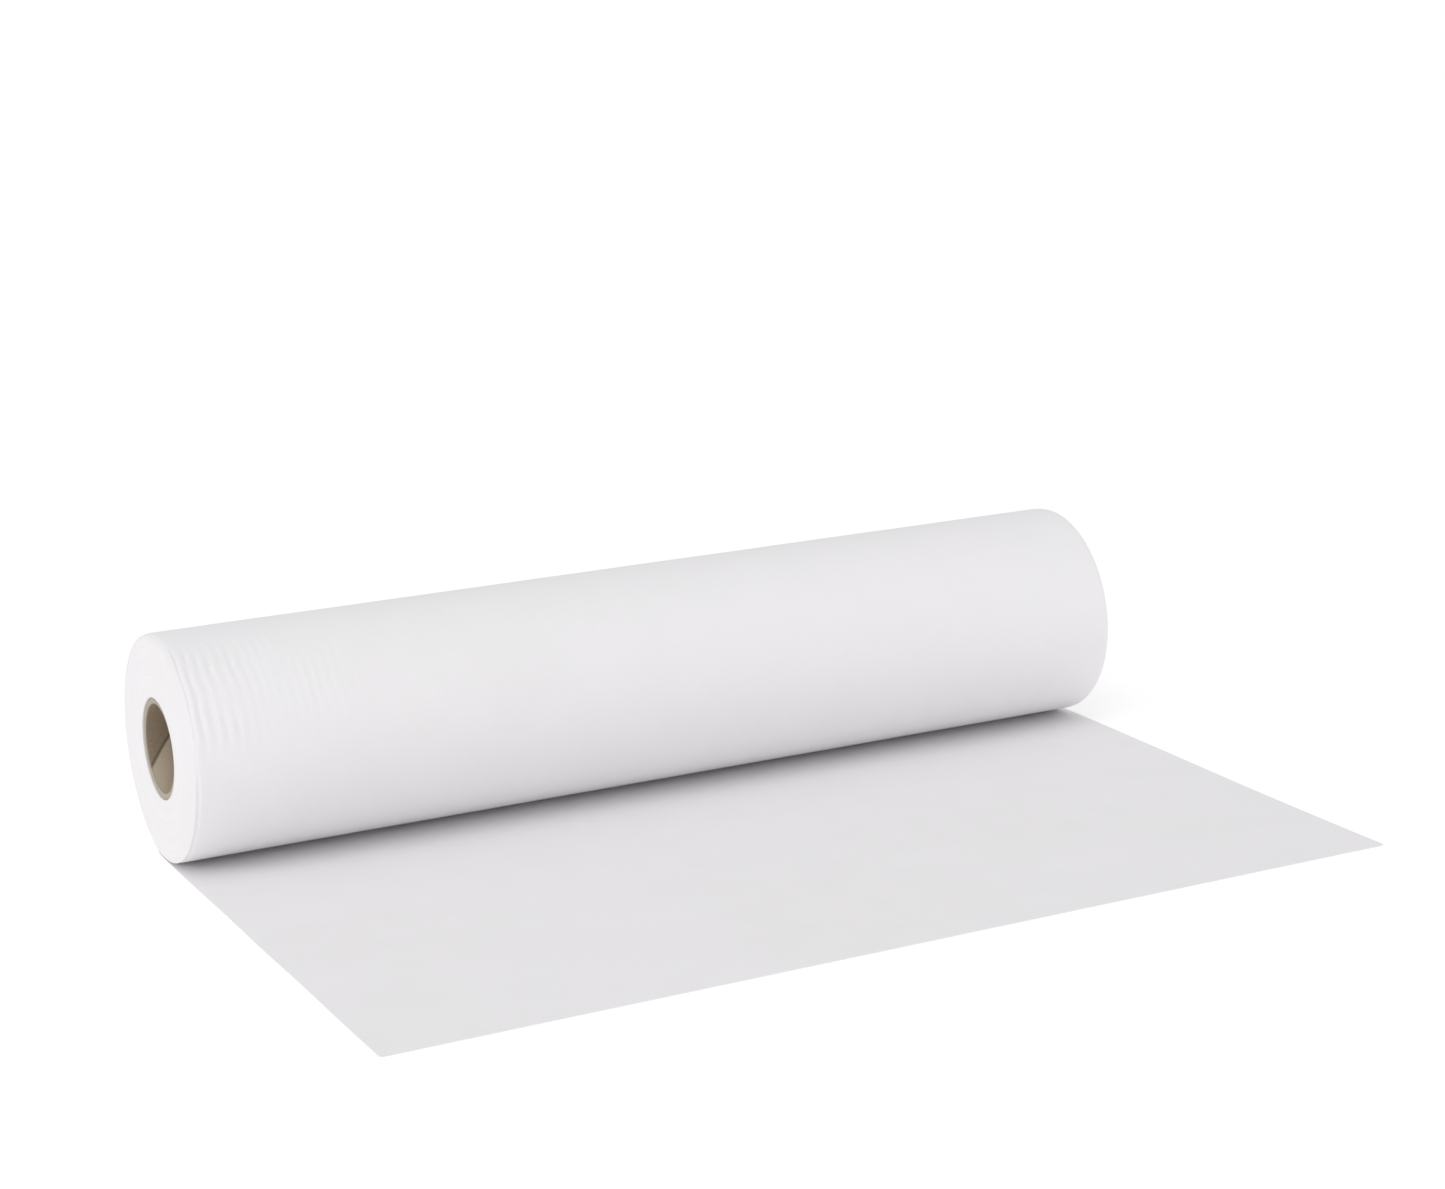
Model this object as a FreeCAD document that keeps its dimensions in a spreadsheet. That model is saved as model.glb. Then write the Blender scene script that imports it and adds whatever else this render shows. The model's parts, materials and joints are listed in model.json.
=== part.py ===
import FreeCAD, Part

import math
import os

import Sketcher

# Short roll of white backdrop paper on an open spiral-wound board core, lying on its own free end.
#
# Frame: the origin is the middle of the core's bore, +X runs along the roll's axis, +Z is up, and the
# free end lies flat towards -Y. The paper leaves the roll underneath, so it comes round the back.
#
# The paper is one web. It is three nodes because its job changes along its length: the wound turns
# turn with the core, the lead strip stays under the roll as it rolls, and the laid sheet lies still.

SIZES = (
    # alias, millimetres, meaning
    ("roll_width", 500.0, "length of the roll, and width of the paper"),
    ("roll_diameter", 110.0, "outside of the wound paper"),
    ("bore_diameter", 43.0, "inside of the core"),
    ("liner_thickness", 0.5, "kraft liner that faces the bore"),
    ("body_ply_thickness", 0.5, "each of the core's body plies"),
    ("outer_ply_thickness", 0.5, "kraft ply on the outside of the core"),
    ("winding_lead", 108.0, "advance of the core's strips along the axis in one turn"),
    ("seam_gap", 0.3, "gap between neighbouring edges of one strip, along the axis"),
    ("tab_length", 30.0, "each starter tab, along the core"),
    ("tab_width", 25.0, "each starter tab, measured round the core"),
    ("tab_thickness", 0.1, "each starter tab"),
    ("tab_end_margin", 15.0, "outer starter tabs to the core's ends"),
    ("paper_thickness", 0.2, "one layer of paper"),
    ("turn_air", 0.05, "air between two wound layers"),
    ("free_length", 280.0, "paper laid out in front of the roll, from the line where it leaves"),
    ("lead_front", 8.0, "lead strip, in front of the line where the paper leaves"),
    ("lead_back", 3.0, "lead strip, behind that line"),
    ("roll_clearance", 0.1, "roll to the paper under it"),
    ("sheet_clearance", 0.3, "lead strip to the laid sheet"),
)
BODY_PLIES = 4
TAB_PLACES = {"left": -1, "middle": 0, "right": 1}  # share of the way from the middle to each end
CUTTER_OVERLAP = 1.0  # mm that a cutter stands out into empty space, so that no skin is left


def add_sizes(doc):
    """Spreadsheet with one aliased cell for each driving dimension."""
    sheet = doc.addObject("Spreadsheet::Sheet", "Sizes")
    for row, (alias, value, meaning) in enumerate(SIZES, start=1):
        sheet.set(f"A{row}", alias)
        sheet.set(f"B{row}", str(value))
        sheet.set(f"C{row}", meaning)
        sheet.setAlias(f"B{row}", alias)
    doc.recompute()
    return sheet


def size(name):
    """Expression for one named size."""
    return f"Sizes.{name}"


def total(*terms):
    """Expression for the sum of several expressions."""
    return "(" + " + ".join(terms) + ")"


# Expressions that several pieces share.
HALF_WIDTH = f"{size('roll_width')} / 2"
ROLL_RADIUS = f"{size('roll_diameter')} / 2"
TURN_PITCH = total(size("paper_thickness"), size("turn_air"))
BODY_PLY = size("body_ply_thickness")
LINER_RADIUS = total(f"{size('bore_diameter')} / 2", size("liner_thickness"))
OUTER_PLY_BASE = total(LINER_RADIUS, f"{BODY_PLIES} * {BODY_PLY}")
CORE_RADIUS = total(OUTER_PLY_BASE, size("outer_ply_thickness"))
TAB_RADIUS = total(CORE_RADIUS, size("tab_thickness"))
TAB_ANGLE = f"{size('tab_width')} / {CORE_RADIUS} * 180 / pi"
SHEET_TOP = f"-{total(ROLL_RADIUS, size('roll_clearance'))}"
SHEET_BOTTOM = f"-{total(ROLL_RADIUS, size('roll_clearance'), size('paper_thickness'))}"


def origin_feature(body, role):
    """One of the body's own origin planes or axes, by its role."""
    return next(item for item in body.Origin.OriginFeatures if item.Role == role)


def add_body(doc, label):
    body = doc.addObject("PartDesign::Body", label)
    body.Label = label
    return body


def add_sketch(body, name, plane):
    sketch = body.newObject("Sketcher::SketchObject", f"{body.Name}_{name}")
    sketch.AttachmentSupport = (origin_feature(body, plane), [""])
    sketch.MapMode = "FlatFace"
    return sketch


def bind(sketch, constraint, expression):
    """Add a dimensional constraint to a sketch and drive it by an expression."""
    index = sketch.addConstraint(constraint)
    sketch.setExpression(f"Constraints[{index}]", expression)


def draw_rectangle(sketch, low, high):
    """Rectangle from its low corner to its high corner, given as pairs of expressions."""
    corners = [FreeCAD.Vector(x, y, 0) for x, y in ((-9, -9), (9, -9), (9, 9), (-9, 9))]
    edges = [Part.LineSegment(corners[i], corners[(i + 1) % 4]) for i in range(4)]
    first = sketch.addGeometry(edges, False)[0]
    for i in range(4):
        following = first + (i + 1) % 4
        sketch.addConstraint(Sketcher.Constraint("Coincident", first + i, 2, following, 1))
    for i, direction in enumerate(("Horizontal", "Vertical", "Horizontal", "Vertical")):
        sketch.addConstraint(Sketcher.Constraint(direction, first + i))
    for corner, (across, up) in ((first, low), (first + 2, high)):
        place = 9.0 if corner != first else -9.0
        bind(sketch, Sketcher.Constraint("DistanceX", corner, 1, place), across)
        bind(sketch, Sketcher.Constraint("DistanceY", corner, 1, place), up)


def draw_circle(sketch, radius):
    """Circle about the sketch's origin."""
    circle = Part.Circle(FreeCAD.Vector(0, 0, 0), FreeCAD.Vector(0, 0, 1), 30)
    index = sketch.addGeometry(circle, False)
    sketch.addConstraint(Sketcher.Constraint("Coincident", index, 3, -1, 1))
    bind(sketch, Sketcher.Constraint("Radius", index, 30.0), radius)


def pad(body, sketch, length):
    """Pad to half the length on each side of the sketch's plane."""
    feature = body.newObject("PartDesign::Pad", f"{body.Name}_pad")
    feature.Profile = sketch
    feature.Midplane = True
    feature.setExpression("Length", length)
    body.Tip = feature
    return feature


def add_ply(doc, label, inner, outer, stagger):
    """One strip of the core: a tube with the helical seam between the strip's own edges.

    The seam starts outside the tube at -X. stagger is the share of a lead by which it is moved along
    the axis, so that no seam lies over the one below it.
    """
    body = add_body(doc, label)
    section = add_sketch(body, "section", "YZ_Plane")
    draw_circle(section, inner)
    draw_circle(section, outer)
    pad(body, section, size("roll_width"))
    doc.recompute()

    cutter = add_sketch(body, "seam", "XZ_Plane")
    start = f"-{HALF_WIDTH} - {1 + stagger} * {size('winding_lead')}"
    draw_rectangle(
        cutter,
        (start, f"{inner} - {CUTTER_OVERLAP}"),
        (f"{start} + {size('seam_gap')}", f"{outer} + {CUTTER_OVERLAP}"),
    )
    seam = body.newObject("PartDesign::SubtractiveHelix", f"{body.Name}_seam_cut")
    seam.Profile = cutter
    seam.ReferenceAxis = (origin_feature(body, "X_Axis"), [""])
    seam.Mode = "pitch-height-angle"
    seam.setExpression("Pitch", size("winding_lead"))
    seam.setExpression("Height", f"{size('roll_width')} + {2 + stagger} * {size('winding_lead')}")
    body.Tip = seam
    return body


def add_core(doc):
    """The core's strips from the bore outwards, each wound on the one before."""
    layers = [("core_inner_liner", f"{size('bore_diameter')} / 2", LINER_RADIUS)]
    for i in range(BODY_PLIES):
        inner = total(LINER_RADIUS, f"{i} * {BODY_PLY}")
        outer = total(LINER_RADIUS, f"{i + 1} * {BODY_PLY}")
        layers.append((f"core_body_ply_{i + 1}", inner, outer))
    layers.append(("core_outer_ply", OUTER_PLY_BASE, CORE_RADIUS))
    return [
        add_ply(doc, label, inner, outer, i / len(layers))
        for i, (label, inner, outer) in enumerate(layers)
    ]


def draw_tab(sketch, place, inner, outer):
    """Section of one starter tab, or of its recess, above the axis in the XZ plane."""
    reach = f"({HALF_WIDTH} - {size('tab_end_margin')} - {size('tab_length')} / 2)"
    middle = f"{place} * {reach}"
    half = f"{size('tab_length')} / 2"
    draw_rectangle(sketch, (f"{middle} - {half}", inner), (f"{middle} + {half}", outer))


def add_tab(doc, side, place):
    """Tab of double-sided tape on the core, under the paper's first edge."""
    body = add_body(doc, f"starter_tab_{side}")
    section = add_sketch(body, "section", "XZ_Plane")
    draw_tab(section, place, CORE_RADIUS, TAB_RADIUS)
    strip = body.newObject("PartDesign::Revolution", f"{body.Name}_strip")
    strip.Profile = section
    strip.ReferenceAxis = (origin_feature(body, "X_Axis"), [""])
    strip.setExpression("Angle", TAB_ANGLE)
    body.Tip = strip
    return body


def draw_spiral(sketch):
    """Outline of the wound paper: one turn of a two-centre spiral and the step that closes it.

    The radius is the roll's own just behind the lowest line, where the last turn begins, and one
    turn's pitch less just in front of it.
    """
    axis_direction = FreeCAD.Vector(0, 0, 1)
    back = Part.ArcOfCircle(
        Part.Circle(FreeCAD.Vector(0, -1, 0), axis_direction, 50), -math.pi / 2, math.pi / 2
    )
    front = Part.ArcOfCircle(
        Part.Circle(FreeCAD.Vector(0, 1, 0), axis_direction, 48), math.pi / 2, 3 * math.pi / 2
    )
    step = Part.LineSegment(FreeCAD.Vector(0, -47, 0), FreeCAD.Vector(0, -51, 0))
    arc_back, arc_front, line = sketch.addGeometry([back, front, step], False)
    vertical_axis = -2
    for arc in (arc_back, arc_front):
        for end in (1, 2, 3):
            sketch.addConstraint(Sketcher.Constraint("PointOnObject", arc, end, vertical_axis))
    sketch.addConstraint(Sketcher.Constraint("Coincident", arc_front, 2, line, 1))
    sketch.addConstraint(Sketcher.Constraint("Coincident", line, 2, arc_back, 1))
    quarter = f"{TURN_PITCH} / 4"
    bind(sketch, Sketcher.Constraint("DistanceY", arc_back, 3, -1.0), f"-{quarter}")
    bind(sketch, Sketcher.Constraint("DistanceY", arc_front, 3, 1.0), quarter)
    bind(sketch, Sketcher.Constraint("Radius", arc_back, 50.0), f"{ROLL_RADIUS} - {quarter}")
    bind(sketch, Sketcher.Constraint("Radius", arc_front, 48.0), f"{ROLL_RADIUS} - 3 * {quarter}")


def add_wound_paper(doc):
    """All the wound turns as one solid, with the core's hole and a recess for each starter tab."""
    body = add_body(doc, "wound_paper")
    outline = add_sketch(body, "outline", "YZ_Plane")
    draw_spiral(outline)
    pad(body, outline, size("roll_width"))
    doc.recompute()

    hole_section = add_sketch(body, "hole_section", "YZ_Plane")
    draw_circle(hole_section, CORE_RADIUS)
    hole = body.newObject("PartDesign::Pocket", "wound_paper_hole")
    hole.Profile = hole_section
    hole.Midplane = True
    hole.setExpression("Length", f"{size('roll_width')} * 2")
    body.Tip = hole
    doc.recompute()

    recess_section = add_sketch(body, "recess_section", "XZ_Plane")
    for place in TAB_PLACES.values():
        draw_tab(recess_section, place, f"{CORE_RADIUS} - {CUTTER_OVERLAP}", TAB_RADIUS)
    recess = body.newObject("PartDesign::Groove", "wound_paper_recess")
    recess.Profile = recess_section
    recess.ReferenceAxis = (origin_feature(body, "X_Axis"), [""])
    recess.setExpression("Angle", TAB_ANGLE)
    body.Tip = recess
    return body


def add_flat_paper(doc, label, front, back):
    """Flat layer of paper on the surface, between two places along Y given as expressions."""
    body = add_body(doc, label)
    section = add_sketch(body, "section", "YZ_Plane")
    draw_rectangle(section, (front, SHEET_BOTTOM), (back, SHEET_TOP))
    pad(body, section, size("roll_width"))
    return body


def add_web(doc):
    """The three stretches of the paper, from the core to the free edge."""
    seam = f"-{size('lead_front')}"
    return [
        add_wound_paper(doc),
        add_flat_paper(doc, "lead_strip", seam, size("lead_back")),
        add_flat_paper(
            doc, "laid_sheet", f"-{size('free_length')}", f"{seam} - {size('sheet_clearance')}"
        ),
    ]


def stop_if_failed(doc, pieces):
    """Raise an error for an object that didn't compute, or a piece that isn't one valid solid."""
    for item in doc.Objects:
        if {"Invalid", "Error"} & set(item.State):
            raise RuntimeError(f"{item.Name} failed: {item.State}")
    for piece in pieces:
        shape = piece.Shape
        if shape.isNull() or not shape.isValid() or len(shape.Solids) != 1:
            raise RuntimeError(f"{piece.Label} is not one valid solid")


def volume_expected(sheet):
    """Wound paper's volume from its sizes: spiral outline less the core's hole and the recesses."""
    core_radius = (
        sheet.bore_diameter / 2 + sheet.liner_thickness
        + BODY_PLIES * sheet.body_ply_thickness + sheet.outer_ply_thickness
    )
    pitch = sheet.paper_thickness + sheet.turn_air
    radii = (sheet.roll_diameter / 2 - pitch / 4, sheet.roll_diameter / 2 - 3 * pitch / 4)
    outline = sum(math.pi * radius ** 2 / 2 for radius in radii)
    ring = outline - math.pi * core_radius ** 2
    tab_radius = core_radius + sheet.tab_thickness
    recess = (tab_radius ** 2 - core_radius ** 2) / 2 * sheet.tab_width / core_radius
    return ring * sheet.roll_width - len(TAB_PLACES) * recess * sheet.tab_length


def main():
    os.makedirs("parts", exist_ok=True)
    doc = FreeCAD.newDocument("backdrop_paper_roll")
    sheet = add_sizes(doc)
    tabs = [add_tab(doc, side, place) for side, place in TAB_PLACES.items()]
    pieces = add_core(doc) + tabs + add_web(doc)
    doc.recompute()
    stop_if_failed(doc, pieces)

    # A pocket or groove that points away from the solid would cut nothing and show no error.
    wound_paper = next(piece for piece in pieces if piece.Label == "wound_paper")
    expected = volume_expected(sheet)
    if abs(wound_paper.Shape.Volume - expected) > 1e-5 * expected:
        raise RuntimeError("wound_paper's volume differs from its sizes")

    for piece in pieces:
        piece.Shape.exportStep(f"parts/{piece.Label}.step")
        print(f"{piece.Label}: {piece.Shape.Volume / 1000:.2f} cm3")


main()
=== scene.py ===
"""Short roll of white backdrop paper on a cardboard core, with its free end laid out in front.

All sizes are in metres, in the roll's own frame: +X along the roll, +Z up, the free end towards -Y.
"""

import json
import math

import bpy
from mathutils import Matrix, Vector, noise


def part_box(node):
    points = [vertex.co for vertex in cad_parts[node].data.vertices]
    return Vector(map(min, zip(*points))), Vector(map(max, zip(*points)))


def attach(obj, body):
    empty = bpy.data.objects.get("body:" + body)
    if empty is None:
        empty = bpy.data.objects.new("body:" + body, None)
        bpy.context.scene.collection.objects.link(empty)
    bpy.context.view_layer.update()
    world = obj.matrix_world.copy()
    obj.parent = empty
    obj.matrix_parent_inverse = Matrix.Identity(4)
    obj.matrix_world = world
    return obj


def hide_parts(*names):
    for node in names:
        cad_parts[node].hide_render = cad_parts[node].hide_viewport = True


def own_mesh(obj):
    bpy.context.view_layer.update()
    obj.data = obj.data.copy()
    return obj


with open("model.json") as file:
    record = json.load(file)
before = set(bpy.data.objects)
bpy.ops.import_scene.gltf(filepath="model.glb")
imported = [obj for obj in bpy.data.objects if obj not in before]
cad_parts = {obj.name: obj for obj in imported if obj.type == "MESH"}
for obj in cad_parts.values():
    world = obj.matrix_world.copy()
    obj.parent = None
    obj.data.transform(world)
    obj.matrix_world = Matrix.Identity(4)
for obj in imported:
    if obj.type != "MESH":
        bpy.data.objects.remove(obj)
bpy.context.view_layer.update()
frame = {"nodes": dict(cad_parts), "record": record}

bl_info = {
    "name": "Backdrop Paper Roll",
    "version": (1, 0, 0),
    "blender": (4, 5, 0),
    "location": "View3D > Sidebar > Paper Roll",
    "description": "Builds a short roll of backdrop paper around its packed frame",
    "category": "Add Mesh",
}

# What the frame says about the roll.
PAPER_LOW, PAPER_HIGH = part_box("wound_paper")
CORE_LOW, CORE_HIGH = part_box("core_outer_ply")
SHEET_LOW, SHEET_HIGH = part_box("laid_sheet")
LEAD_LOW, LEAD_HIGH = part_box("lead_strip")
END_X = PAPER_HIGH.x                      # half the roll's length
ROLL_RADIUS = PAPER_HIGH.z
CORE_RADIUS = CORE_HIGH.z
BORE_MOUNT = next(m for m in frame["record"]["mounts"] if m["name"] == "core_bore")
BORE_RADIUS = BORE_MOUNT["dims"]["r_mm"] / 1000
FLOOR_Z = SHEET_LOW.z
PAPER_THICKNESS = SHEET_HIGH.z - SHEET_LOW.z
PLY_NAMES = ["core_inner_liner", "core_body_ply_1", "core_body_ply_2", "core_body_ply_3",
             "core_body_ply_4", "core_outer_ply"]
TAB_NAMES = ["starter_tab_left", "starter_tab_middle", "starter_tab_right"]
FULL_TURN = 2 * math.pi
SHEET_LENGTH = LEAD_LOW.y - SHEET_LOW.y   # the free end, up to the strip under the roll

CORE_SET_BACK = 0.0007                    # the core's ends lie this far inside the paper's
PLY_CLEARANCE = 0.00003                   # air between two plies, so that their faces don't fight
TURN_PITCH = PAPER_THICKNESS * 1.25       # a layer of paper and the air on it
TOUCH = 1e-6                              # points nearer than this are one point
CORE_COLOUR_SWING = 0.05                  # how much the plies differ in lightness


# ---------------------------------------------------------------- shader maths

class Wire:
    """A socket of a material's nodes that can be used in a sum."""

    def __init__(self, finish, socket):
        self.finish = finish
        self.socket = socket

    def sum(self, operation, first, second=None):
        values = {i: v for i, v in enumerate((first, second)) if v is not None}
        return self.finish.node("ShaderNodeMath", {"operation": operation}, values)

    def __add__(self, other):
        return self.sum("ADD", self, other)

    def __radd__(self, other):
        return self.sum("ADD", other, self)

    def __sub__(self, other):
        return self.sum("SUBTRACT", self, other)

    def __rsub__(self, other):
        return self.sum("SUBTRACT", other, self)

    def __mul__(self, other):
        return self.sum("MULTIPLY", self, other)

    def __rmul__(self, other):
        return self.sum("MULTIPLY", other, self)

    def __truediv__(self, other):
        return self.sum("DIVIDE", self, other)

    def __rtruediv__(self, other):
        return self.sum("DIVIDE", other, self)

    def __abs__(self):
        return self.sum("ABSOLUTE", self)

    def sqrt(self):
        return self.sum("SQRT", self)

    def fract(self):
        return self.sum("FRACT", self)

    def angle_to(self, other):
        return self.sum("ARCTAN2", self, other)

    def rise(self, low, high):
        """0 below low, 1 above high and smooth between them; low may be the larger one."""
        return self.finish.node("ShaderNodeMapRange", {"interpolation_type": "SMOOTHSTEP"},
                                {"Value": self, "From Min": low, "From Max": high})


class Finish:
    """A material while its nodes are being put together."""

    def __init__(self, name, viewport_colour):
        self.material = bpy.data.materials.new(name)
        self.material.use_nodes = True
        self.material.diffuse_color = (*viewport_colour, 1.0)
        self.tree = self.material.node_tree
        self.shader = self.tree.nodes["Principled BSDF"]

    def node(self, kind, settings=None, values=None, output=0):
        """Adds a node: its settings first, then the values or links of its sockets."""
        made = self.tree.nodes.new(kind)
        for key, value in (settings or {}).items():
            setattr(made, key, value)
        for key, value in (values or {}).items():
            self.feed(made.inputs[key], value)
        return Wire(self, made.outputs[output])

    def feed(self, socket, value):
        if isinstance(value, Wire):
            self.tree.links.new(value.socket, socket)
        else:
            socket.default_value = value

    def shade(self, **values):
        """Sets the shader's own sockets; an underscore in a name stands for a space."""
        for key, value in values.items():
            self.feed(self.shader.inputs[key.replace("_", " ")], value)

    def place(self):
        return self.node("ShaderNodeTexCoord", output="Object")

    def axes(self, place):
        parts = self.node("ShaderNodeSeparateXYZ", values={"Vector": place}).socket.node
        return [Wire(self, parts.outputs[i]) for i in range(3)]

    def vector(self, x, y, z):
        return self.node("ShaderNodeCombineXYZ", values={"X": x, "Y": y, "Z": z})

    def stretched(self, place, factors):
        return self.node("ShaderNodeVectorMath", {"operation": "MULTIPLY"}, {0: place, 1: factors})

    def cloudy(self, place, scale, detail=2.0, roughness=0.5):
        """Noise from 0 to 1, with scale in patches to the metre."""
        return self.node("ShaderNodeTexNoise", {"noise_dimensions": "3D"},
                         {"Vector": place, "Scale": scale, "Detail": detail, "Roughness": roughness})

    def blend(self, share, first, second, mode="MIX"):
        """Mixes two colours: share 0 gives the first and 1 the second."""
        made = self.tree.nodes.new("ShaderNodeMix")
        made.data_type = "RGBA"
        made.blend_type = mode
        sockets = [s for s in made.inputs if s.enabled]
        for socket, value in zip(sockets, (share, first, second)):
            if not isinstance(value, Wire) and hasattr(value, "__len__"):
                value = (*value, 1.0)
            self.feed(socket, value)
        return Wire(self, next(s for s in made.outputs if s.enabled))

    def relief(self, height, depth, normal=None):
        """A bump of that depth in metres."""
        values = {"Height": height, "Strength": 1.0, "Distance": depth}
        if normal is not None:
            values["Normal"] = normal
        return self.node("ShaderNodeBump", values=values)


# ---------------------------------------------------------------- finishes

PAPER_TOOTH = 0.00003                     # depths of the finishes' fine relief
RING_RELIEF = 0.00022
BOARD_RELIEF = 0.00012
TAPE_RELIEF = 0.00003
CUT_BOARD = (0.43, 0.395, 0.335)
# Painted light: the paler liner tone beside the seam stands in for light falling into the bore.
LINER_PAINTED_LIGHT = (0.84, 0.73, 0.58)


def shaded(colour, factor):
    return tuple(min(1.0, c * factor) for c in colour)


def paper_finish(name, colour, wound):
    """White uncoated paper: fibres, faint clouds and a soft tooth; wound adds the turns' edges."""
    finish = Finish(name, colour)
    place = finish.place()
    x, y, z = finish.axes(place)
    fibres = finish.cloudy(finish.stretched(place, (1.0, 0.35, 0.35)), 2600.0, 3.0, 0.6)
    clouds = finish.cloudy(place, 34.0, 3.0, 0.55)
    patches = finish.cloudy(place, 9.0, 2.0, 0.5)
    tooth = finish.cloudy(place, 5200.0, 2.0, 0.6)
    tone = finish.blend(clouds.rise(0.30, 0.70), shaded(colour, 0.988), shaded(colour, 1.004))
    cooler = (colour[0], colour[1] * 0.994, colour[2] * 1.012)
    tone = finish.blend(patches.rise(0.35, 0.7) * 0.5, tone, cooler)
    between_fibres = finish.blend(1.0, tone, (0.982, 0.982, 0.98), "MULTIPLY")
    tone = finish.blend(fibres.rise(0.38, 0.66), between_fibres, tone)
    height = fibres * 0.6 + tooth * 0.4
    roughness = 0.62 - clouds * 0.10 + tooth * 0.05
    normal = finish.relief(height, PAPER_TOOTH)
    if wound:
        # The turns' edges show only on the two ends: a spread of fine rings, each a little in or out.
        radius = (y * y + z * z).sqrt()
        on_end = abs(x).rise(END_X - 0.0030, END_X - 0.0008)
        on_end = on_end * radius.rise(ROLL_RADIUS - 0.0004, ROLL_RADIUS - 0.0016)
        turns = finish.cloudy(finish.vector(radius, 0.0, 0.0), 1900.0, 2.0, 0.7)
        bands = finish.cloudy(finish.vector(radius, x * 4.0, 0.3), 330.0, 3.0, 0.6)
        cut = finish.cloudy(finish.stretched(place, (0.0, 1.0, 1.0)), 900.0, 2.0, 0.6)
        ring_tone = finish.blend(turns.rise(0.30, 0.62), (0.955, 0.953, 0.945), (1.0, 1.0, 1.0))
        band_tone = finish.blend(bands.rise(0.30, 0.70), (0.972, 0.971, 0.966), (1.0, 1.0, 1.0))
        ring_tone = finish.blend(1.0, ring_tone, band_tone, "MULTIPLY")
        tone = finish.blend(on_end, tone, finish.blend(1.0, tone, ring_tone, "MULTIPLY"))
        rings = (turns * 0.55 + bands * 0.30 + cut * 0.15) * on_end
        normal = finish.relief(rings, RING_RELIEF, normal)
        roughness = roughness + on_end * 0.14
    finish.shade(Base_Color=tone, Roughness=roughness, Normal=normal, Specular_IOR_Level=0.32)
    return finish.material


def board_finish(name, colour, layer_radius, lead, hand_shift, liner):
    """Core board: grey-brown pulp with long fibres; the liner also shows its spiral seam, with painted
    light on one side of it.
    """
    finish = Finish(name, colour)
    place = finish.place()
    x, y, z = finish.axes(place)
    around = z.angle_to(y) * layer_radius
    along_strip = finish.vector(x * 0.55 + around * 0.35, around * 0.30 - x * 0.10, 0.0)
    fibres = finish.cloudy(finish.stretched(along_strip, (1.0, 3.2, 1.0)), 900.0, 4.0, 0.65)
    specks = finish.cloudy(place, 1500.0, 2.0, 0.7)
    clouds = finish.cloudy(place, 70.0, 3.0, 0.6)
    tone = finish.blend(fibres.rise(0.30, 0.70), shaded(colour, 0.84), shaded(colour, 1.10))
    tone = finish.blend(clouds.rise(0.30, 0.72) * 0.6, tone, shaded(colour, 0.90))
    tone = finish.blend(specks.rise(0.66, 0.76) * 0.55, tone, shaded(colour, 0.55))
    tone = finish.blend(specks.rise(0.34, 0.25) * 0.45, tone, shaded(colour, 1.35))
    height = fibres * 0.7 + specks * 0.3
    if liner:
        # Painted light: the strip is paler on one side of its seam, standing in for the light that falls
        # into the bore; a dark glue line lies along the seam.
        turn = z.angle_to(y) / FULL_TURN
        across = ((x + END_X) / lead - turn + hand_shift).fract()
        edge = abs(across - 0.5).rise(0.5 - 0.0016 / lead, 0.5 - 0.0002 / lead)
        tone = finish.blend(across.rise(0.34, 0.04), tone, finish.blend(0.6, tone, LINER_PAINTED_LIGHT))
        tone = finish.blend(edge * 0.75, tone, shaded(colour, 0.42))
        height = height - edge * 0.8
    # The cut ends are greyer and rougher.
    sawn = abs(x).rise(END_X - CORE_SET_BACK - 0.0010, END_X - CORE_SET_BACK - 0.0001)
    tone = finish.blend(sawn * 0.7, tone, CUT_BOARD)
    finish.shade(Base_Color=tone, Roughness=0.78 - clouds * 0.12 + sawn * 0.1,
                 Normal=finish.relief(height, BOARD_RELIEF), Specular_IOR_Level=0.25)
    return finish.material


def tape_finish(name, colour):
    """Double-sided tissue tape: yellowish, with the tissue's fibres in the gum."""
    finish = Finish(name, colour)
    place = finish.place()
    fibres = finish.cloudy(finish.stretched(place, (1.0, 0.3, 0.3)), 1400.0, 4.0, 0.7)
    clouds = finish.cloudy(place, 160.0, 2.0, 0.5)
    tone = finish.blend(fibres.rise(0.35, 0.70), shaded(colour, 0.86), shaded(colour, 1.06))
    tone = finish.blend(clouds.rise(0.35, 0.65) * 0.4, tone, shaded(colour, 0.92))
    finish.shade(Base_Color=tone, Roughness=0.42 + fibres * 0.2, Normal=finish.relief(fibres, TAPE_RELIEF),
                 Specular_IOR_Level=0.45)
    return finish.material


def floor_finish(name, colour, glow):
    """A matt painted floor with the faintest clouding, which gives off a little light of its own."""
    finish = Finish(name, colour)
    clouds = finish.cloudy(finish.place(), 1.5, 2.0, 0.5)
    finish.shade(Base_Color=finish.blend(clouds, shaded(colour, 0.995), colour), Roughness=0.9,
                 Specular_IOR_Level=0.05, Emission_Color=(1.0, 1.0, 1.0, 1.0), Emission_Strength=glow)
    return finish.material


# ---------------------------------------------------------------- modelling helpers

def start_clean():
    """Object mode with nothing selected."""
    if bpy.context.object is not None and bpy.context.object.mode != "OBJECT":
        bpy.ops.object.mode_set(mode="OBJECT")
    bpy.ops.object.select_all(action="DESELECT")


def added(name):
    """The primitive that was just added, renamed, with its place moved into its mesh."""
    piece = bpy.context.object
    piece.name = name
    piece.data.name = name
    bpy.ops.object.transform_apply(location=True, rotation=True, scale=True)
    return piece


def pick(piece, kind, test):
    """In edit mode, selects the vertices, edges or faces that pass a test, and nothing else."""
    bpy.ops.mesh.select_mode(type={"vertices": "VERT", "edges": "EDGE", "polygons": "FACE"}[kind])
    bpy.ops.mesh.select_all(action="DESELECT")
    bpy.ops.object.mode_set(mode="OBJECT")
    for element in getattr(piece.data, kind):
        element.select = test(element)
    bpy.ops.object.mode_set(mode="EDIT")


def edge_middle(piece, edge):
    first, second = (piece.data.vertices[i].co for i in edge.vertices)
    return (first + second) / 2


def move_points(piece, rule):
    """Moves every vertex to where the rule says."""
    for vertex in piece.data.vertices:
        vertex.co = rule(vertex.co)
    piece.data.update()


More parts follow.
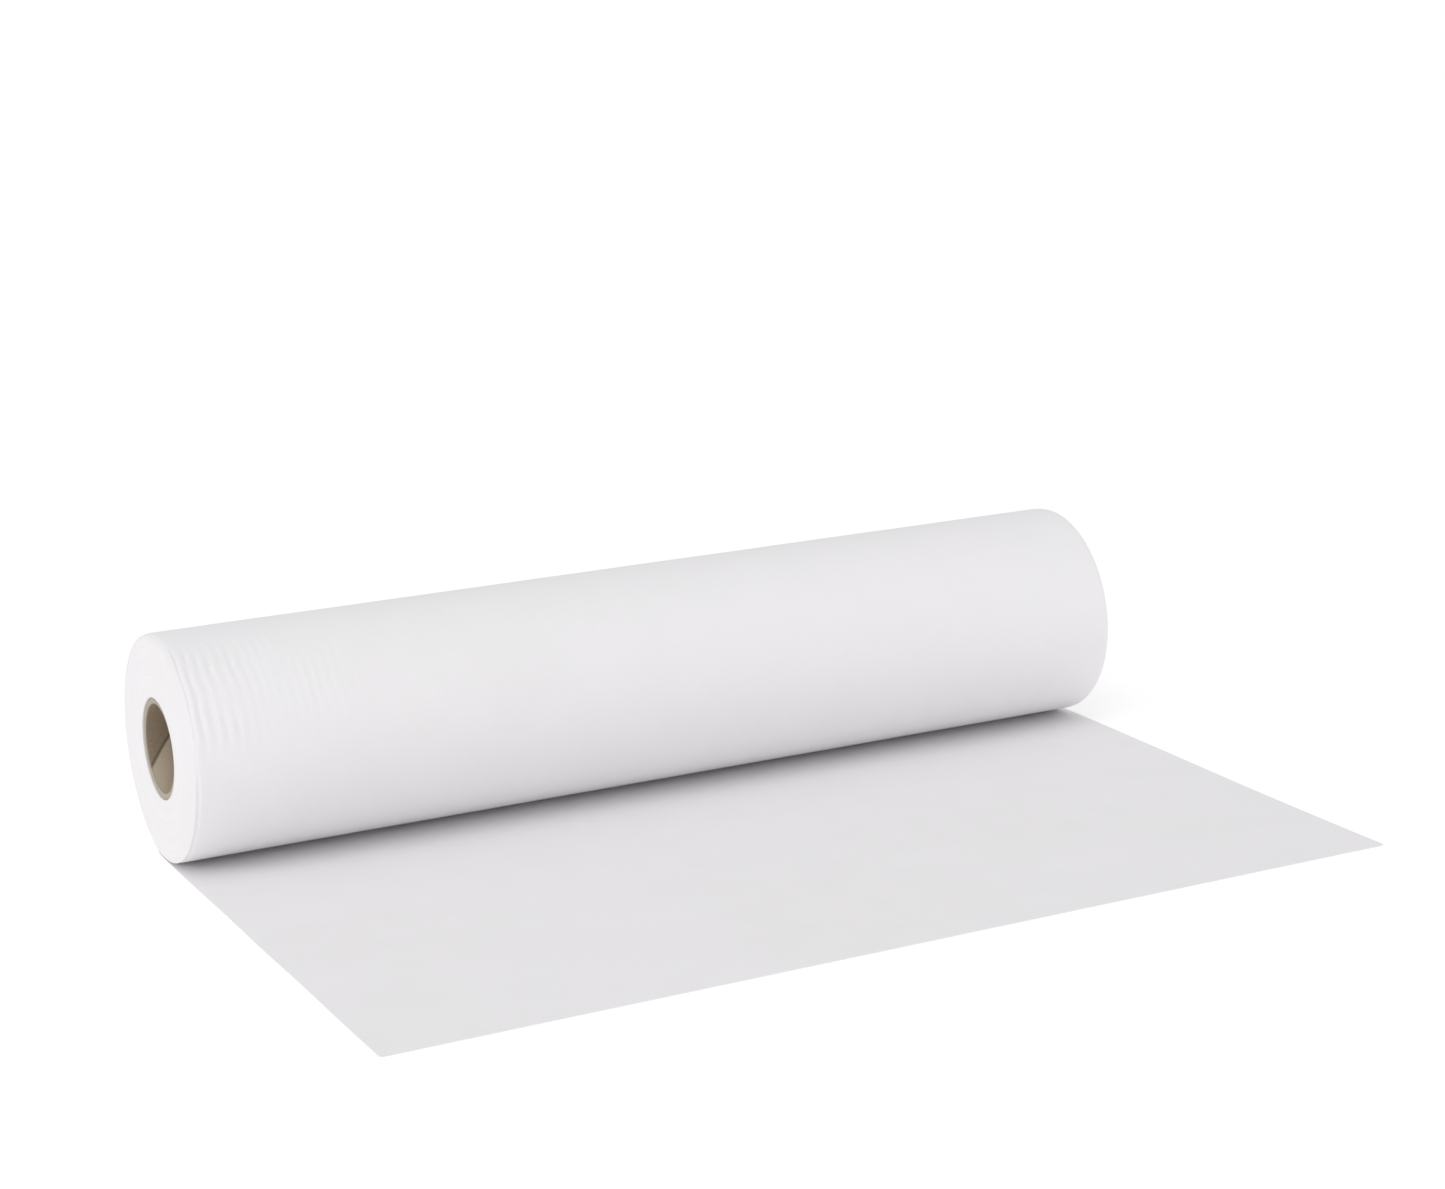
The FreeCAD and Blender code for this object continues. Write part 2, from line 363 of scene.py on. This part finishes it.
def finish_modifier(piece, kind, **settings):
    modifier = piece.modifiers.new(kind.title(), kind)
    for key, value in settings.items():
        setattr(modifier, key, value)
    bpy.context.view_layer.objects.active = piece
    bpy.ops.object.modifier_apply(modifier=modifier.name)


def hand_over(piece, material, body, slot, *nodes):
    """Gives a finished piece its material and its body, and hides the nodes it stands for."""
    piece.data.materials.clear()
    piece.data.materials.append(material)
    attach(piece, body)
    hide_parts(*nodes)
    bpy.ops.object.select_all(action="DESELECT")


def smooth(share):
    share = max(0.0, min(1.0, share))
    return share * share * (3 - 2 * share)


def wave(x, y, z, seed):
    """Smooth noise from -1 to 1 that is the same on every run."""
    return noise.noise(Vector((x + 13.7 * seed, y - 7.3 * seed, z + 3.1 * seed)))


# ---------------------------------------------------------------- the wound paper

def sweep_from_bottom(y, z):
    """How far round from the lowest line, 0 to 1, up the front, over the top and down the back."""
    return math.atan2(-y, -z) / FULL_TURN % 1.0


def surface_dip(x, y, z, settings):
    """How far the outside turn lies inside the roll's full radius at a place."""
    sweep = sweep_from_bottom(y, z)
    step = smooth((1.0 - sweep) * FULL_TURN * ROLL_RADIUS / settings.step_run)
    dip = TURN_PITCH * (1.0 - sweep * step)
    soft = 0.5 + 0.5 * wave(x * 17, y * 24, z * 24, 1)
    fine = 0.5 + 0.5 * wave(x * 48, y * 34, z * 34, 2)
    dip += settings.undulation * (0.75 * soft + 0.35 * fine)
    # Pressed creases run round the roll near its left end, on the upper front.
    from_end = x + END_X
    height_angle = math.degrees(math.atan2(z, -y))
    band = smooth((height_angle - 4) / 22) * smooth((80 - height_angle) / 18)
    reach = max(smooth((0.052 - from_end) / 0.032), 0.35 * smooth((0.092 - from_end) / 0.020))
    reach *= smooth((from_end - 0.0015) / 0.002)
    if band > 0 and reach > 0:
        drift = 0.0026 * wave(x * 34, y * 20, z * 20, 4) + 0.0016 * wave(x * 20, y * 62, z * 62, 5)
        phase = (from_end - 0.0006 + drift) / settings.crease_spacing
        patchy = smooth(0.60 + 1.5 * wave(x * 44, y * 34, z * 34, 6))
        valley = 0.5 - 0.5 * math.cos(FULL_TURN * phase)
        dip += settings.crease_depth * band * reach * (0.15 + 0.85 * patchy) * valley ** 1.8
    # Low on the front the outermost turn has slipped back from the left end and left a fine groove.
    low = smooth((6 - height_angle) / 14) * smooth((height_angle + 100) / 25)
    dip += settings.groove_depth * low * math.exp(-((from_end - 0.0017) / 0.0007) ** 2)
    return dip


def shoulder_share(y, z, left):
    """How rounded the roll's edge is: softest on the upper front of the left end, crisp below."""
    height_angle = math.degrees(math.atan2(z, -y))
    soft = math.cos(math.radians(height_angle - 62)) * 0.5 + 0.5
    if left:
        return 0.14 + 0.86 * soft ** 2.2
    return 0.20 + 0.25 * soft


def wound_point(co, settings):
    """Moves a point of the plain spun roll to its place on the real one."""
    x, radius = co.x, math.hypot(co.y, co.z)
    angle = math.atan2(co.z, co.y)
    left = x < 0
    side = -1.0 if left else 1.0
    from_end = END_X - abs(x)
    depth = ROLL_RADIUS - radius
    # Edge rounding: the ring of the corner slides along an arc.
    reach = settings.shoulder
    share = shoulder_share(co.y, co.z, left)
    new_from_end, new_depth = from_end, depth
    if depth < TOUCH and from_end < reach:
        turn = math.pi / 4 * (1 + from_end / reach)
        new_from_end = from_end + share * (reach * (1 - math.cos(turn)) - from_end)
        new_depth = share * reach * (1 - math.sin(turn))
    elif from_end < TOUCH and depth < reach:
        turn = math.pi / 4 * (1 - depth / reach)
        new_from_end = share * reach * (1 - math.cos(turn))
        new_depth = depth + share * (reach * (1 - math.sin(turn)) - depth)
    # Each few turns' edges stand a little in or out of the end.
    if from_end < TOUCH:
        ring = round(depth / settings.ring_pitch)
        uneven = 0.5 + 0.5 * wave(ring * 0.83, side * 5, 0.4, 7)
        lean = 0.5 + 0.5 * wave(co.y * 14, co.z * 14, side * 3 + ring * 0.05, 8)
        rim = smooth(depth / 0.002) * smooth((radius - CORE_RADIUS) / 0.001)
        new_from_end += settings.end_unevenness * rim * (0.6 * uneven + 0.6 * lean)
    full = smooth((radius / ROLL_RADIUS - 0.72) / 0.28)
    outside = Vector((0, math.cos(angle), math.sin(angle))) * ROLL_RADIUS
    new_depth += surface_dip(x, outside.y, outside.z, settings) * full
    new_radius = ROLL_RADIUS - new_depth
    return Vector((side * (END_X - new_from_end), new_radius * math.cos(angle),
                   new_radius * math.sin(angle)))


def spread_along_roll(x, settings):
    """Packs the rings of the plain roll closely near both ends, closest where the creases are."""
    share = (x + END_X) / (2 * END_X)
    marks = [(0.0, 0.0), (0.070, settings.shoulder), (0.66, 0.094),
             (0.93, 2 * END_X - settings.shoulder), (1.0, 2 * END_X)]
    for (low, start), (high, stop) in zip(marks, marks[1:]):
        if share <= high + 1e-9:
            return -END_X + start + (stop - start) * (share - low) / (high - low)
    return END_X


def make_wound_paper(settings):
    """Spins the roll's outline round its axis, then gives it its turns, shoulders and creases."""
    start_clean()
    bpy.ops.mesh.primitive_plane_add(size=1, location=(0, 0, (ROLL_RADIUS + CORE_RADIUS) / 2),
                                     rotation=(math.pi / 2, 0, 0))
    bpy.ops.transform.resize(value=(2 * END_X, 1, ROLL_RADIUS - CORE_RADIUS))
    paper = added("wound_paper_roll")
    bpy.ops.object.mode_set(mode="EDIT")
    bpy.ops.mesh.select_all(action="SELECT")
    bpy.ops.mesh.delete(type="ONLY_FACE")
    pick(paper, "edges", lambda e: edge_middle(paper, e).z > ROLL_RADIUS - 1e-5)
    bpy.ops.mesh.subdivide(number_cuts=settings.rings_along - 1)
    pick(paper, "edges", lambda e: abs(edge_middle(paper, e).x) > END_X - 1e-5)
    bpy.ops.mesh.subdivide(number_cuts=settings.rings_on_ends - 1)
    bpy.ops.object.mode_set(mode="OBJECT")
    move_points(paper, lambda co: Vector((spread_along_roll(co.x, settings), 0, co.z))
                if co.z > ROLL_RADIUS - 1e-5 else co)
    bpy.ops.object.mode_set(mode="EDIT")
    bpy.ops.mesh.select_all(action="SELECT")
    bpy.ops.mesh.spin(steps=settings.steps_round, angle=FULL_TURN, center=(0, 0, 0), axis=(1, 0, 0))
    bpy.ops.mesh.select_all(action="SELECT")
    bpy.ops.mesh.remove_doubles(threshold=TOUCH)
    bpy.ops.mesh.normals_make_consistent(inside=False)
    bpy.ops.object.mode_set(mode="OBJECT")
    move_points(paper, lambda co: wound_point(co, settings))
    bpy.ops.object.shade_smooth_by_angle(angle=math.radians(38))
    return paper


# ---------------------------------------------------------------- the core

def make_ply(name, inner, outer, settings, start_angle):
    """A strip of board wound into a spiral: a straight edge screwed along the core, cut at both ends."""
    start_clean()
    lead = settings.winding_lead
    strip = lead - settings.seam_gap
    before = -END_X - lead
    edge_y, edge_z = inner * math.cos(start_angle), inner * math.sin(start_angle)
    bpy.ops.mesh.primitive_plane_add(size=1, location=(before + strip / 2, edge_y, edge_z))
    bpy.ops.transform.resize(value=(strip, 0.001, 1))
    ply = added(name)
    bpy.ops.object.mode_set(mode="EDIT")
    pick(ply, "vertices", lambda v: v.co.y > edge_y)
    bpy.ops.mesh.delete(type="VERT")
    bpy.ops.mesh.select_all(action="SELECT")
    bpy.ops.object.mode_set(mode="OBJECT")
    move_points(ply, lambda co: Vector((co.x, edge_y, edge_z)))
    turns = math.ceil((2 * END_X + lead) / lead)
    finish_modifier(ply, "SCREW", axis="X", angle=FULL_TURN, screw_offset=lead, iterations=turns,
                    steps=settings.steps_round, render_steps=settings.steps_round,
                    use_normal_calculate=True, use_smooth_shade=True)
    bpy.ops.object.mode_set(mode="EDIT")
    bpy.ops.mesh.select_all(action="SELECT")
    bpy.ops.mesh.remove_doubles(threshold=TOUCH)
    for x, keep_right in ((CORE_SET_BACK - END_X, True), (END_X - CORE_SET_BACK, False)):
        bpy.ops.mesh.select_all(action="SELECT")
        bpy.ops.mesh.bisect(plane_co=(x, 0, 0), plane_no=(1, 0, 0), clear_inner=keep_right,
                            clear_outer=not keep_right)
    bpy.ops.mesh.select_all(action="SELECT")
    bpy.ops.mesh.normals_make_consistent(inside=False)
    bpy.ops.object.mode_set(mode="OBJECT")
    if faces_point_inwards(ply):
        bpy.ops.object.mode_set(mode="EDIT")
        bpy.ops.mesh.select_all(action="SELECT")
        bpy.ops.mesh.flip_normals()
        bpy.ops.object.mode_set(mode="OBJECT")
    finish_modifier(ply, "SOLIDIFY", thickness=outer - inner, offset=1.0, use_even_offset=True)
    bpy.ops.object.shade_smooth_by_angle(angle=math.radians(35))
    return ply


def faces_point_inwards(piece):
    face = piece.data.polygons[0]
    return face.normal.y * face.center.y + face.normal.z * face.center.z < 0


# ---------------------------------------------------------------- the flat paper

EDGE_WANDER = 0.0030                      # how far the right edge runs out at the roll
HUG_TIGHTNESS = 0.00007                   # how far the strip closes in on the roll behind it


def edge_wander(y):
    """The right edge of the free end runs out a little towards the roll."""
    straight = 0.07
    return EDGE_WANDER * smooth((y - SHEET_LOW.y - straight) / (SHEET_LENGTH - straight))


def lie_of_sheet(co, settings):
    """A point of the free end: faint ripples, a lifted corner, and an edge that isn't quite straight."""
    x, y = co.x, co.y
    from_roll = LEAD_LOW.y - y
    wide = x + edge_wander(y) * smooth((x + END_X) / (2 * END_X)) ** 2
    wide += 0.0002 * wave(y * 20, x * 5, 0, 9) * abs(x) / END_X
    free = smooth(from_roll / 0.05)
    ripple = (0.5 + 0.5 * wave(x * 7, y * 12, 0, 10)) * settings.ripple
    ripple += (0.5 + 0.5 * wave(x * 22, y * 30, 0, 11)) * settings.ripple * 0.25
    front = smooth((from_roll - 0.225) / 0.047)
    corner = max(0.0, abs(x) / END_X - 0.86) / 0.14
    lift = settings.corner_lift * (front * corner) ** 2
    return Vector((wide, y, co.z + ripple * free + lift))


def make_flat_paper(name, front, back, cuts_across, cuts_along, rule):
    """A flat sheet from front to back, divided finely, laid by a rule and given its thickness."""
    start_clean()
    length = back - front
    bpy.ops.mesh.primitive_plane_add(size=1, location=(0, front + length / 2, FLOOR_Z))
    bpy.ops.transform.resize(value=(2 * END_X, length, 1))
    paper = added(name)
    bpy.ops.object.mode_set(mode="EDIT")
    pick(paper, "edges", lambda e: abs(edge_middle(paper, e).x) < 1e-4)
    bpy.ops.mesh.subdivide(number_cuts=cuts_across)
    pick(paper, "edges", lambda e: on_long_edge(paper, e))
    bpy.ops.mesh.subdivide(number_cuts=cuts_along)
    bpy.ops.mesh.select_all(action="SELECT")
    bpy.ops.mesh.normals_make_consistent(inside=False)
    bpy.ops.object.mode_set(mode="OBJECT")
    face_up(paper)
    move_points(paper, rule)
    finish_modifier(paper, "SOLIDIFY", thickness=PAPER_THICKNESS, offset=1.0, use_even_offset=False)
    bpy.ops.object.shade_smooth_by_angle(angle=math.radians(35))
    return paper


def make_laid_sheet(settings):
    return make_flat_paper("laid_paper_sheet", SHEET_LOW.y, LEAD_LOW.y, 149, 79,
                           lambda co: lie_of_sheet(co, settings))


def on_long_edge(piece, edge):
    """Edges that run front to back."""
    first, second = (piece.data.vertices[i].co for i in edge.vertices)
    return abs(first.x - second.x) < TOUCH


def face_up(piece):
    if piece.data.polygons[0].normal.z < 0:
        bpy.ops.object.mode_set(mode="EDIT")
        bpy.ops.mesh.select_all(action="SELECT")
        bpy.ops.mesh.flip_normals()
        bpy.ops.object.mode_set(mode="OBJECT")


def lie_of_lead(co, settings):
    """A point of the web where it leaves the roll: flat in front, hugging the roll behind."""
    x, along = co.x, co.y
    x += edge_wander(LEAD_LOW.y) * smooth((x + END_X) / (2 * END_X)) ** 2
    if along <= 0:
        return Vector((x, along, FLOOR_Z))
    share = along / settings.hug_length
    radius = -FLOOR_Z - HUG_TIGHTNESS * share
    angle = along / -FLOOR_Z
    return Vector((x, radius * math.sin(angle), -radius * math.cos(angle)))


def make_lead_strip(settings):
    return make_flat_paper("lead_paper_strip", LEAD_LOW.y, settings.hug_length, 99, 23,
                           lambda co: lie_of_lead(co, settings))


# ---------------------------------------------------------------- settings

class PaperRollWoundSettings(bpy.types.PropertyGroup):
    """Sizes and colour of the wound paper."""
    colour: bpy.props.FloatVectorProperty(
        name="Paper colour", description="Colour of the white paper",
        subtype="COLOR", size=3, min=0, max=1, default=(0.882, 0.869, 0.882))
    undulation: bpy.props.FloatProperty(
        name="Undulation", description="How uneven the outside turn lies",
        default=0.00022, min=0, max=0.002, unit="LENGTH", precision=5)
    crease_depth: bpy.props.FloatProperty(
        name="Crease depth", description="Depth of the creases near the left end",
        default=0.00080, min=0, max=0.002, unit="LENGTH", precision=5)
    crease_spacing: bpy.props.FloatProperty(
        name="Crease spacing", description="Distance between two creases",
        default=0.0050, min=0.001, max=0.05, unit="LENGTH", precision=5)
    groove_depth: bpy.props.FloatProperty(
        name="Groove depth", description="Groove beside the left end, low in front",
        default=0.0005, min=0, max=0.002, unit="LENGTH", precision=5)
    shoulder: bpy.props.FloatProperty(
        name="Shoulder", description="Reach of the soft edge on both ends",
        default=0.0040, min=0.0005, max=0.02, unit="LENGTH", precision=5)
    end_unevenness: bpy.props.FloatProperty(
        name="End unevenness", description="How far the turns' edges stand back",
        default=0.00022, min=0, max=0.002, unit="LENGTH", precision=5)
    ring_pitch: bpy.props.FloatProperty(
        name="Ring pitch", description="Width of one group of turns on the ends",
        default=0.0007, min=0.0002, max=0.01, unit="LENGTH", precision=5)
    step_run: bpy.props.FloatProperty(
        name="Step run", description="Length over which the outside turn's step fades",
        default=0.008, min=0.001, max=0.05, unit="LENGTH", precision=5)
    rings_along: bpy.props.IntProperty(
        name="Rings along", description="Rings of the mesh along the roll",
        default=220, min=40, max=400)
    rings_on_ends: bpy.props.IntProperty(
        name="Rings on ends", description="Rings of the mesh on each end",
        default=44, min=8, max=120)
    steps_round: bpy.props.IntProperty(
        name="Steps round", description="Steps of the mesh round the roll",
        default=288, min=32, max=720)


class PaperRollCoreSettings(bpy.types.PropertyGroup):
    """Sizes and colours of the core and the starter tabs."""
    winding_lead: bpy.props.FloatProperty(
        name="Winding lead", description="Advance of the board strips per turn",
        default=0.108, min=0.02, max=0.5, unit="LENGTH", precision=4)
    seam_gap: bpy.props.FloatProperty(
        name="Seam gap", description="Gap between the strip's edges",
        default=0.0003, min=0.0, max=0.005, unit="LENGTH", precision=5)
    steps_round: bpy.props.IntProperty(
        name="Steps round", description="Steps of the mesh round the core",
        default=96, min=24, max=256)
    liner_colour: bpy.props.FloatVectorProperty(
        name="Liner colour", description="Colour of the brown inner liner",
        subtype="COLOR", size=3, min=0, max=1, default=(0.36, 0.285, 0.205))
    board_colour: bpy.props.FloatVectorProperty(
        name="Board colour", description="Colour of the grey-brown board",
        subtype="COLOR", size=3, min=0, max=1, default=(0.50, 0.44, 0.36))
    tape_colour: bpy.props.FloatVectorProperty(
        name="Tape colour", description="Colour of the starter tabs",
        subtype="COLOR", size=3, min=0, max=1, default=(0.85, 0.82, 0.70))


class PaperRollFreeEndSettings(bpy.types.PropertyGroup):
    """How the free end lies."""
    ripple: bpy.props.FloatProperty(
        name="Ripple", description="Height of the faint ripples",
        default=0.00035, min=0, max=0.005, unit="LENGTH", precision=5)
    corner_lift: bpy.props.FloatProperty(
        name="Corner lift", description="Height of the two lifted front corners",
        default=0.0002, min=0, max=0.02, unit="LENGTH", precision=5)
    hug_length: bpy.props.FloatProperty(
        name="Hug length", description="How far the web hugs the roll behind it",
        default=0.012, min=0.001, max=0.03, unit="LENGTH", precision=4)


class PaperRollStageSettings(bpy.types.PropertyGroup):
    """Floor, lights and camera."""
    floor_colour: bpy.props.FloatVectorProperty(
        name="Floor colour", description="Colour of the plain floor",
        subtype="COLOR", size=3, min=0, max=1, default=(0.985, 0.985, 0.985))
    floor_glow: bpy.props.FloatProperty(
        name="Floor glow", description="Light that the floor gives off",
        default=0.19, min=0, max=2)
    sky: bpy.props.FloatProperty(
        name="Sky", description="Strength of the even light all round",
        default=0.71, min=0, max=10)
    sun: bpy.props.FloatProperty(
        name="Overhead light", description="Strength of the broad light from the upper front",
        default=0.48, min=0, max=20)
    key: bpy.props.FloatProperty(
        name="Key light", description="Power of the soft light at the left",
        default=10.5, min=0, max=5000, subtype="POWER")
    fill: bpy.props.FloatProperty(
        name="Fill light", description="Power of the low soft light at the front",
        default=3.4, min=0, max=5000, subtype="POWER")
    focal_length: bpy.props.FloatProperty(
        name="Focal length", description="Lens of the camera",
        default=75.06, min=10, max=300, subtype="DISTANCE_CAMERA")


# ---------------------------------------------------------------- operators

class PAPER_ROLL_OT_stage(bpy.types.Operator):
    """Adds the floor, the lights and the camera"""
    bl_idname = "paper_roll.add_stage"
    bl_label = "Add stage"

    def execute(self, context):
        settings = context.scene.paper_roll_stage
        start_clean()
        bpy.ops.mesh.primitive_circle_add(vertices=96, radius=14, fill_type="NGON",
                                          location=(0, 0, FLOOR_Z))
        floor = added("studio_floor")
        bpy.ops.object.mode_set(mode="EDIT")
        bpy.ops.mesh.select_all(action="SELECT")
        bpy.ops.mesh.inset(thickness=9)
        bpy.ops.object.mode_set(mode="OBJECT")
        paint = floor_finish("floor_paint", tuple(settings.floor_colour), settings.floor_glow)
        floor.data.materials.append(paint)
        add_sky(context.scene, settings.sky)
        add_broad_light("overhead_light", (-0.24, -0.40, 0.88), settings.sun)
        add_soft_light("key_light", (-2.75, -0.30, 1.10), (-0.05, 0, 0), 0.8, settings.key)
        add_soft_light("fill_light", (0.8, -2.5, 0.05), (0.1, 0, 0), 1.6, settings.fill, 0.16)
        add_camera(context.scene, settings.focal_length)
        context.scene.view_settings.view_transform = "Standard"
        return {"FINISHED"}


def add_sky(scene, strength):
    world = bpy.data.worlds.new("studio_air")
    world.use_nodes = True
    background = world.node_tree.nodes["Background"]
    background.inputs["Color"].default_value = (1.0, 1.0, 1.0, 1.0)
    background.inputs["Strength"].default_value = strength
    scene.world = world


def add_broad_light(name, towards, strength):
    """Light of one strength everywhere, from a wide patch of the ceiling."""
    bpy.ops.object.light_add(type="SUN", location=Vector(towards) * 3)
    light = bpy.context.object
    light.name = name
    light.data.name = name
    light.data.energy = strength
    light.data.angle = math.radians(38)
    light.rotation_euler = (-Vector(towards)).to_track_quat("-Z", "Y").to_euler()


def add_soft_light(name, place, target, width, power, height=None):
    bpy.ops.object.light_add(type="AREA", location=place)
    light = bpy.context.object
    light.name = name
    light.data.name = name
    light.data.shape = "ELLIPSE" if height is None else "RECTANGLE"
    light.data.size = width
    light.data.size_y = height or width
    light.data.energy = power
    light.visible_camera = False
    light.rotation_euler = (Vector(target) - Vector(place)).to_track_quat("-Z", "Y").to_euler()


def add_camera(scene, focal_length):
    """Low three-quarter view of the roll's left end, rolled a degree and a half."""
    place = Vector((-0.6301, -1.3313, 0.4011))
    forward = Vector((0.4416, 0.8650, -0.23823)).normalized()
    level_right = forward.cross(Vector((0, 0, 1))).normalized()
    level_up = level_right.cross(forward)
    roll = math.radians(-1.431)
    right = math.cos(roll) * level_right + math.sin(roll) * level_up
    up = right.cross(forward)
    bpy.ops.object.camera_add(location=place)
    camera = bpy.context.object
    camera.name = "camera"
    camera.data.lens = focal_length
    camera.data.sensor_width = 36
    turned = Matrix((right, up, -forward)).transposed()
    camera.rotation_euler = turned.to_euler()
    scene.camera = camera


class PAPER_ROLL_OT_core(bpy.types.Operator):
    """Winds the six board plies of the core"""
    bl_idname = "paper_roll.wind_core"
    bl_label = "Wind core"

    def execute(self, context):
        settings = context.scene.paper_roll_core
        lead = settings.winding_lead
        for number, node in enumerate(PLY_NAMES):
            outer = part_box(node)[1].z - PLY_CLEARANCE
            inner = BORE_RADIUS if number == 0 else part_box(PLY_NAMES[number - 1])[1].z
            liner = number == 0
            start = math.radians(138 + 137 * number)
            ply = make_ply(node + "_strip", inner, outer, settings, start)
            kraft = node in (PLY_NAMES[0], PLY_NAMES[-1])
            colour = tuple(settings.liner_colour if kraft else settings.board_colour)
            tint = 1.0 + CORE_COLOUR_SWING * math.sin(2.4 * number)
            finish = board_finish(node + "_board", shaded(colour, tint), inner, lead,
                                  start / FULL_TURN + 0.5, liner)
            hand_over(ply, finish, "roll", "core_liner" if liner else "core_board", node)
        return {"FINISHED"}


class PAPER_ROLL_OT_tabs(bpy.types.Operator):
    """Gives the three starter tabs their tape finish"""
    bl_idname = "paper_roll.finish_tabs"
    bl_label = "Finish starter tabs"

    def execute(self, context):
        finish = tape_finish("starter_tape", tuple(context.scene.paper_roll_core.tape_colour))
        for name in TAB_NAMES:
            tab = frame["nodes"][name]
            if not tab.material_slots:
                tab.data.materials.append(finish)
            for material_slot in tab.material_slots:
                material_slot.material = finish
        return {"FINISHED"}


class PAPER_ROLL_OT_wound_paper(bpy.types.Operator):
    """Winds the paper on the core"""
    bl_idname = "paper_roll.wind_paper"
    bl_label = "Wind paper"

    def execute(self, context):
        settings = context.scene.paper_roll_wound
        paper = make_wound_paper(settings)
        hand_over(paper, paper_finish("wound_white_paper", tuple(settings.colour), True),
                  "roll", "white_paper", "wound_paper")
        return {"FINISHED"}


class PAPER_ROLL_OT_free_end(bpy.types.Operator):
    """Lays the free end in front of the roll"""
    bl_idname = "paper_roll.lay_free_end"
    bl_label = "Lay free end"

    def execute(self, context):
        settings = context.scene.paper_roll_free_end
        finish = paper_finish("flat_white_paper", tuple(context.scene.paper_roll_wound.colour), False)
        sheet = make_laid_sheet(settings)
        hand_over(sheet, finish, "sheet", "white_paper", "laid_sheet")
        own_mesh(sheet)
        lead = make_lead_strip(settings)
        hand_over(lead, finish, "lead", "white_paper", "lead_strip")
        return {"FINISHED"}


# ---------------------------------------------------------------- panel and registration

class PAPER_ROLL_PT_panel(bpy.types.Panel):
    """Lists the roll's pieces and settings"""
    bl_idname = "PAPER_ROLL_PT_panel"
    bl_label = "Paper Roll"
    bl_space_type = "VIEW_3D"
    bl_region_type = "UI"
    bl_category = "Paper Roll"

    def draw(self, context):
        scene = context.scene
        groups = ((scene.paper_roll_core, (PAPER_ROLL_OT_core, PAPER_ROLL_OT_tabs)),
                  (scene.paper_roll_wound, (PAPER_ROLL_OT_wound_paper,)),
                  (scene.paper_roll_free_end, (PAPER_ROLL_OT_free_end,)),
                  (scene.paper_roll_stage, (PAPER_ROLL_OT_stage,)))
        for settings, operators in groups:
            box = self.layout.box()
            for key in settings.bl_rna.properties.keys():
                if key not in ("rna_type", "name"):
                    box.prop(settings, key)
            for operator in operators:
                box.operator(operator.bl_idname)


CLASSES = (
    PaperRollWoundSettings, PaperRollCoreSettings, PaperRollFreeEndSettings, PaperRollStageSettings,
    PAPER_ROLL_OT_stage, PAPER_ROLL_OT_core, PAPER_ROLL_OT_tabs, PAPER_ROLL_OT_wound_paper,
    PAPER_ROLL_OT_free_end, PAPER_ROLL_PT_panel,
)
SETTINGS = {
    "paper_roll_wound": PaperRollWoundSettings,
    "paper_roll_core": PaperRollCoreSettings,
    "paper_roll_free_end": PaperRollFreeEndSettings,
    "paper_roll_stage": PaperRollStageSettings,
}


def register():
    for cls in CLASSES:
        bpy.utils.register_class(cls)
    for name, cls in SETTINGS.items():
        setattr(bpy.types.Scene, name, bpy.props.PointerProperty(type=cls))


def unregister():
    for name in SETTINGS:
        delattr(bpy.types.Scene, name)
    for cls in reversed(CLASSES):
        bpy.utils.unregister_class(cls)


def main():
    register()
    bpy.ops.paper_roll.add_stage()
    bpy.ops.paper_roll.wind_core()
    bpy.ops.paper_roll.finish_tabs()
    bpy.ops.paper_roll.wind_paper()
    bpy.ops.paper_roll.lay_free_end()


if __name__ == "__main__":
    main()
